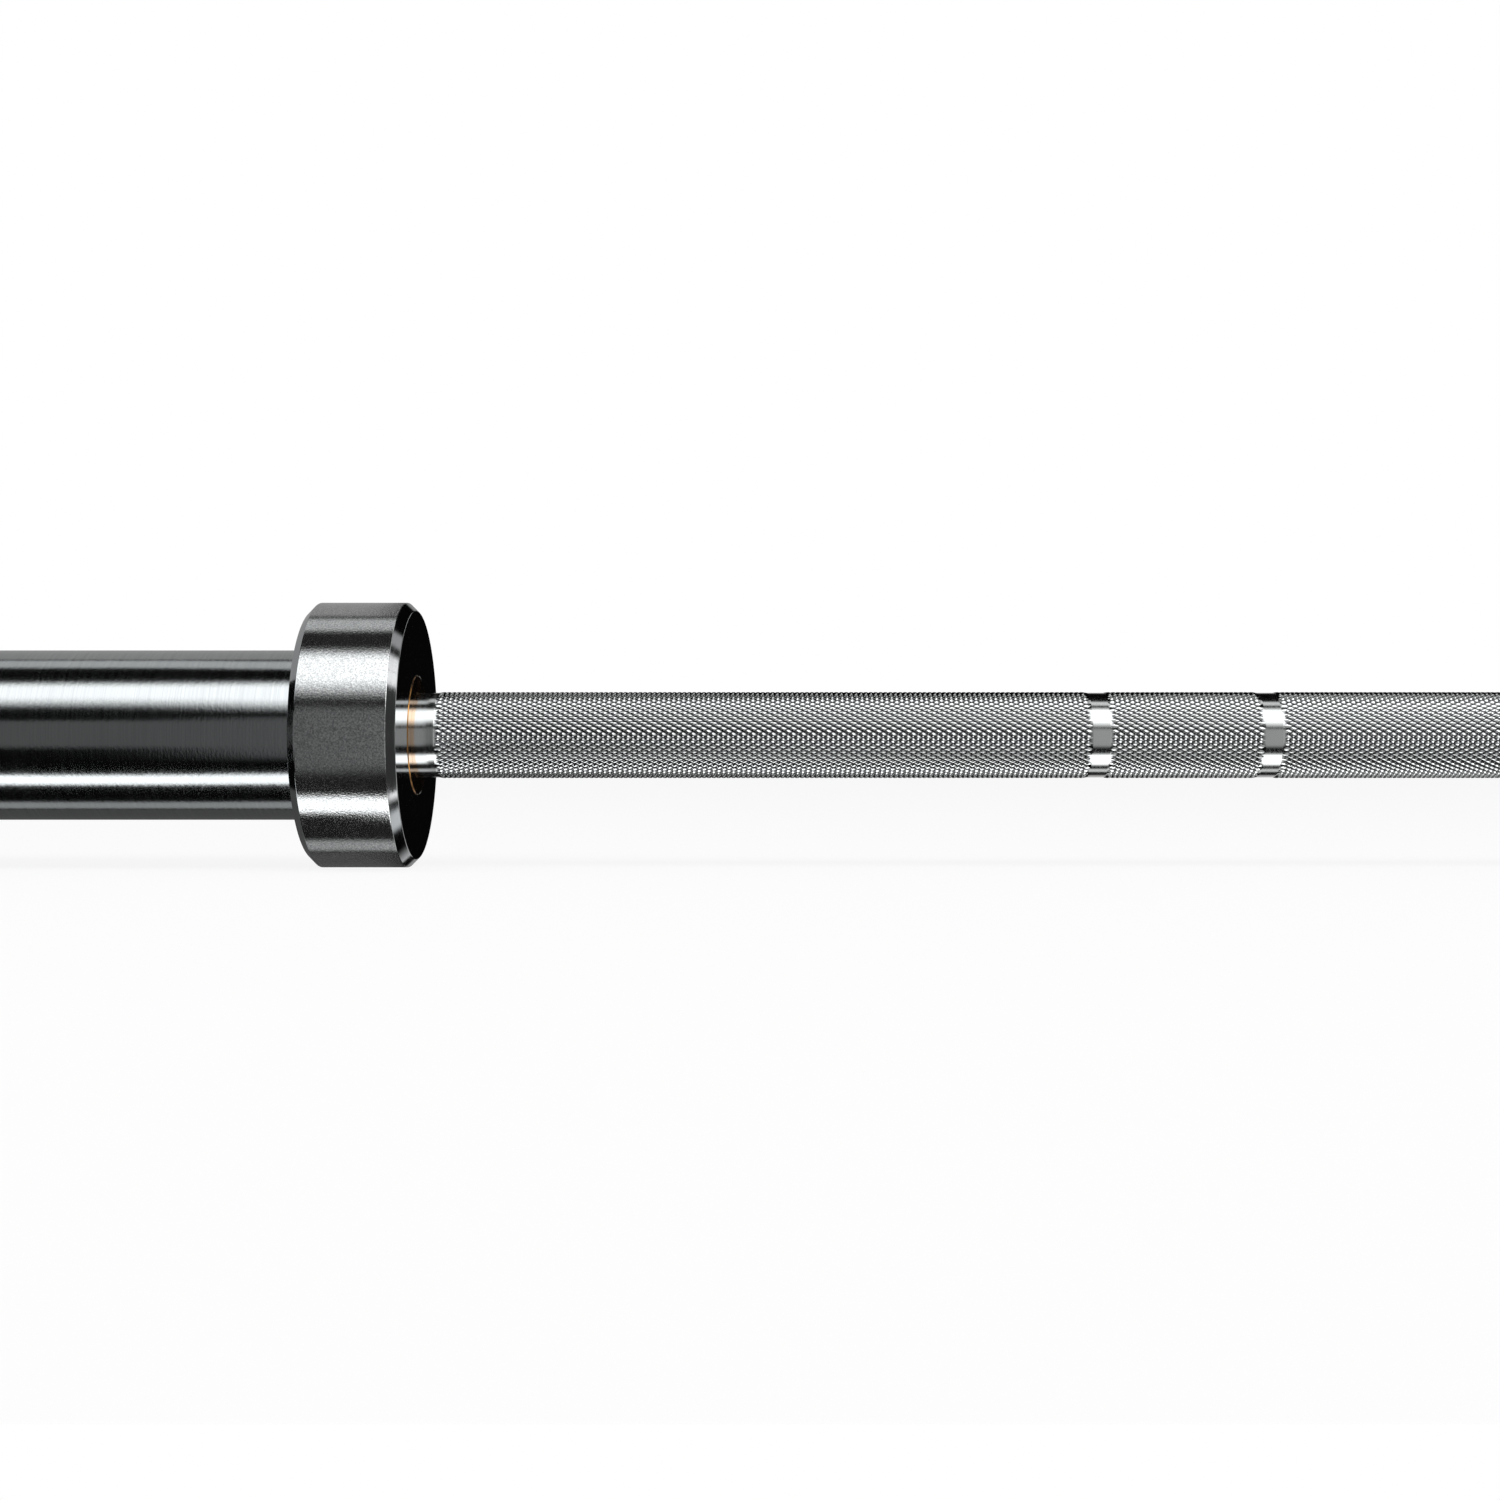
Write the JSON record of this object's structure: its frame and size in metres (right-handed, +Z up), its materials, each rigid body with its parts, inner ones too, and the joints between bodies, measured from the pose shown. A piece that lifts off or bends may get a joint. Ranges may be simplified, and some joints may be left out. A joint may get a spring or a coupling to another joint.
{
  "type": "olympic barbell",
  "caption": "Olympic barbell: a knurled steel shaft with ring marks and, at each end, a collar and a plate sleeve that turn together on bronze bushings and needle bearings.",
  "frame": {"origin": "middle of the shaft, on its axis", "axes": "+X along the bar to the right end, +Z up, +Y away from the picture's camera; the picture shows the left (-X) end"},
  "size_m": [2.01, 0.078, 0.078],
  "materials": {
    "shaft_steel": "satin chrome plating, bright on the plain lengths",
    "collar_steel": "fine-blasted rim, polished inner face, satin chrome",
    "sleeve_steel": "fine turned and plated, satin chrome",
    "bronze": "machined bearing bronze",
    "bearing_steel": "ground and hardened bearing steel",
    "cage_steel": "dark pressed steel",
    "spring_steel": "black phosphated spring steel",
    "nylon": "natural nylon"
  },
  "bodies": {
    "bar": {"shaft": "shaft_steel", "left_thrust_washer": "bearing_steel", "left_shaft_snap_ring": "spring_steel", "right_thrust_washer": "bearing_steel", "right_shaft_snap_ring": "spring_steel"},
    "left_sleeve": {"left_collar": "collar_steel", "left_sleeve_tube": "sleeve_steel", "left_inner_bushing": "bronze", "left_outer_bushing": "bronze", "left_inner_bearing_cup": "bearing_steel", "left_outer_bearing_cup": "bearing_steel", "left_thrust_pad": "nylon", "left_end_cap": "sleeve_steel", "left_end_cap_snap_ring": "spring_steel"},
    "left_inner_bearing": {"left_inner_bearing_cage": "cage_steel", "left_inner_bearing_needles": "bearing_steel"},
    "left_outer_bearing": {"left_outer_bearing_cage": "cage_steel", "left_outer_bearing_needles": "bearing_steel"},
    "right_sleeve": {"right_collar": "collar_steel", "right_sleeve_tube": "sleeve_steel", "right_inner_bushing": "bronze", "right_outer_bushing": "bronze", "right_inner_bearing_cup": "bearing_steel", "right_outer_bearing_cup": "bearing_steel", "right_thrust_pad": "nylon", "right_end_cap": "sleeve_steel", "right_end_cap_snap_ring": "spring_steel"},
    "right_inner_bearing": {"right_inner_bearing_cage": "cage_steel", "right_inner_bearing_needles": "bearing_steel"},
    "right_outer_bearing": {"right_outer_bearing_cage": "cage_steel", "right_outer_bearing_needles": "bearing_steel"}
  },
  "joints": [
    {"name": "left_sleeve_spin", "type": "hinge", "parent": "bar", "child": "left_sleeve", "pos_m": [-0.844, 0, 0], "axis": [1, 0, 0], "continuous": true},
    {"name": "left_inner_bearing_spin", "type": "hinge", "parent": "bar", "child": "left_inner_bearing", "pos_m": [-0.699, 0, 0], "axis": [1, 0, 0], "continuous": true},
    {"name": "left_outer_bearing_spin", "type": "hinge", "parent": "bar", "child": "left_outer_bearing", "pos_m": [-0.952, 0, 0], "axis": [1, 0, 0], "continuous": true},
    {"name": "right_sleeve_spin", "type": "hinge", "parent": "bar", "child": "right_sleeve", "pos_m": [0.844, 0, 0], "axis": [1, 0, 0], "continuous": true},
    {"name": "right_inner_bearing_spin", "type": "hinge", "parent": "bar", "child": "right_inner_bearing", "pos_m": [0.699, 0, 0], "axis": [1, 0, 0], "continuous": true},
    {"name": "right_outer_bearing_spin", "type": "hinge", "parent": "bar", "child": "right_outer_bearing", "pos_m": [0.952, 0, 0], "axis": [1, 0, 0], "continuous": true}
  ],
  "couplings": [
    {"joint": "left_inner_bearing_spin", "follows": "left_sleeve_spin", "ratio": 0.5436},
    {"joint": "left_outer_bearing_spin", "follows": "left_sleeve_spin", "ratio": 0.5436},
    {"joint": "right_inner_bearing_spin", "follows": "right_sleeve_spin", "ratio": 0.5436},
    {"joint": "right_outer_bearing_spin", "follows": "right_sleeve_spin", "ratio": 0.5436}
  ]
}
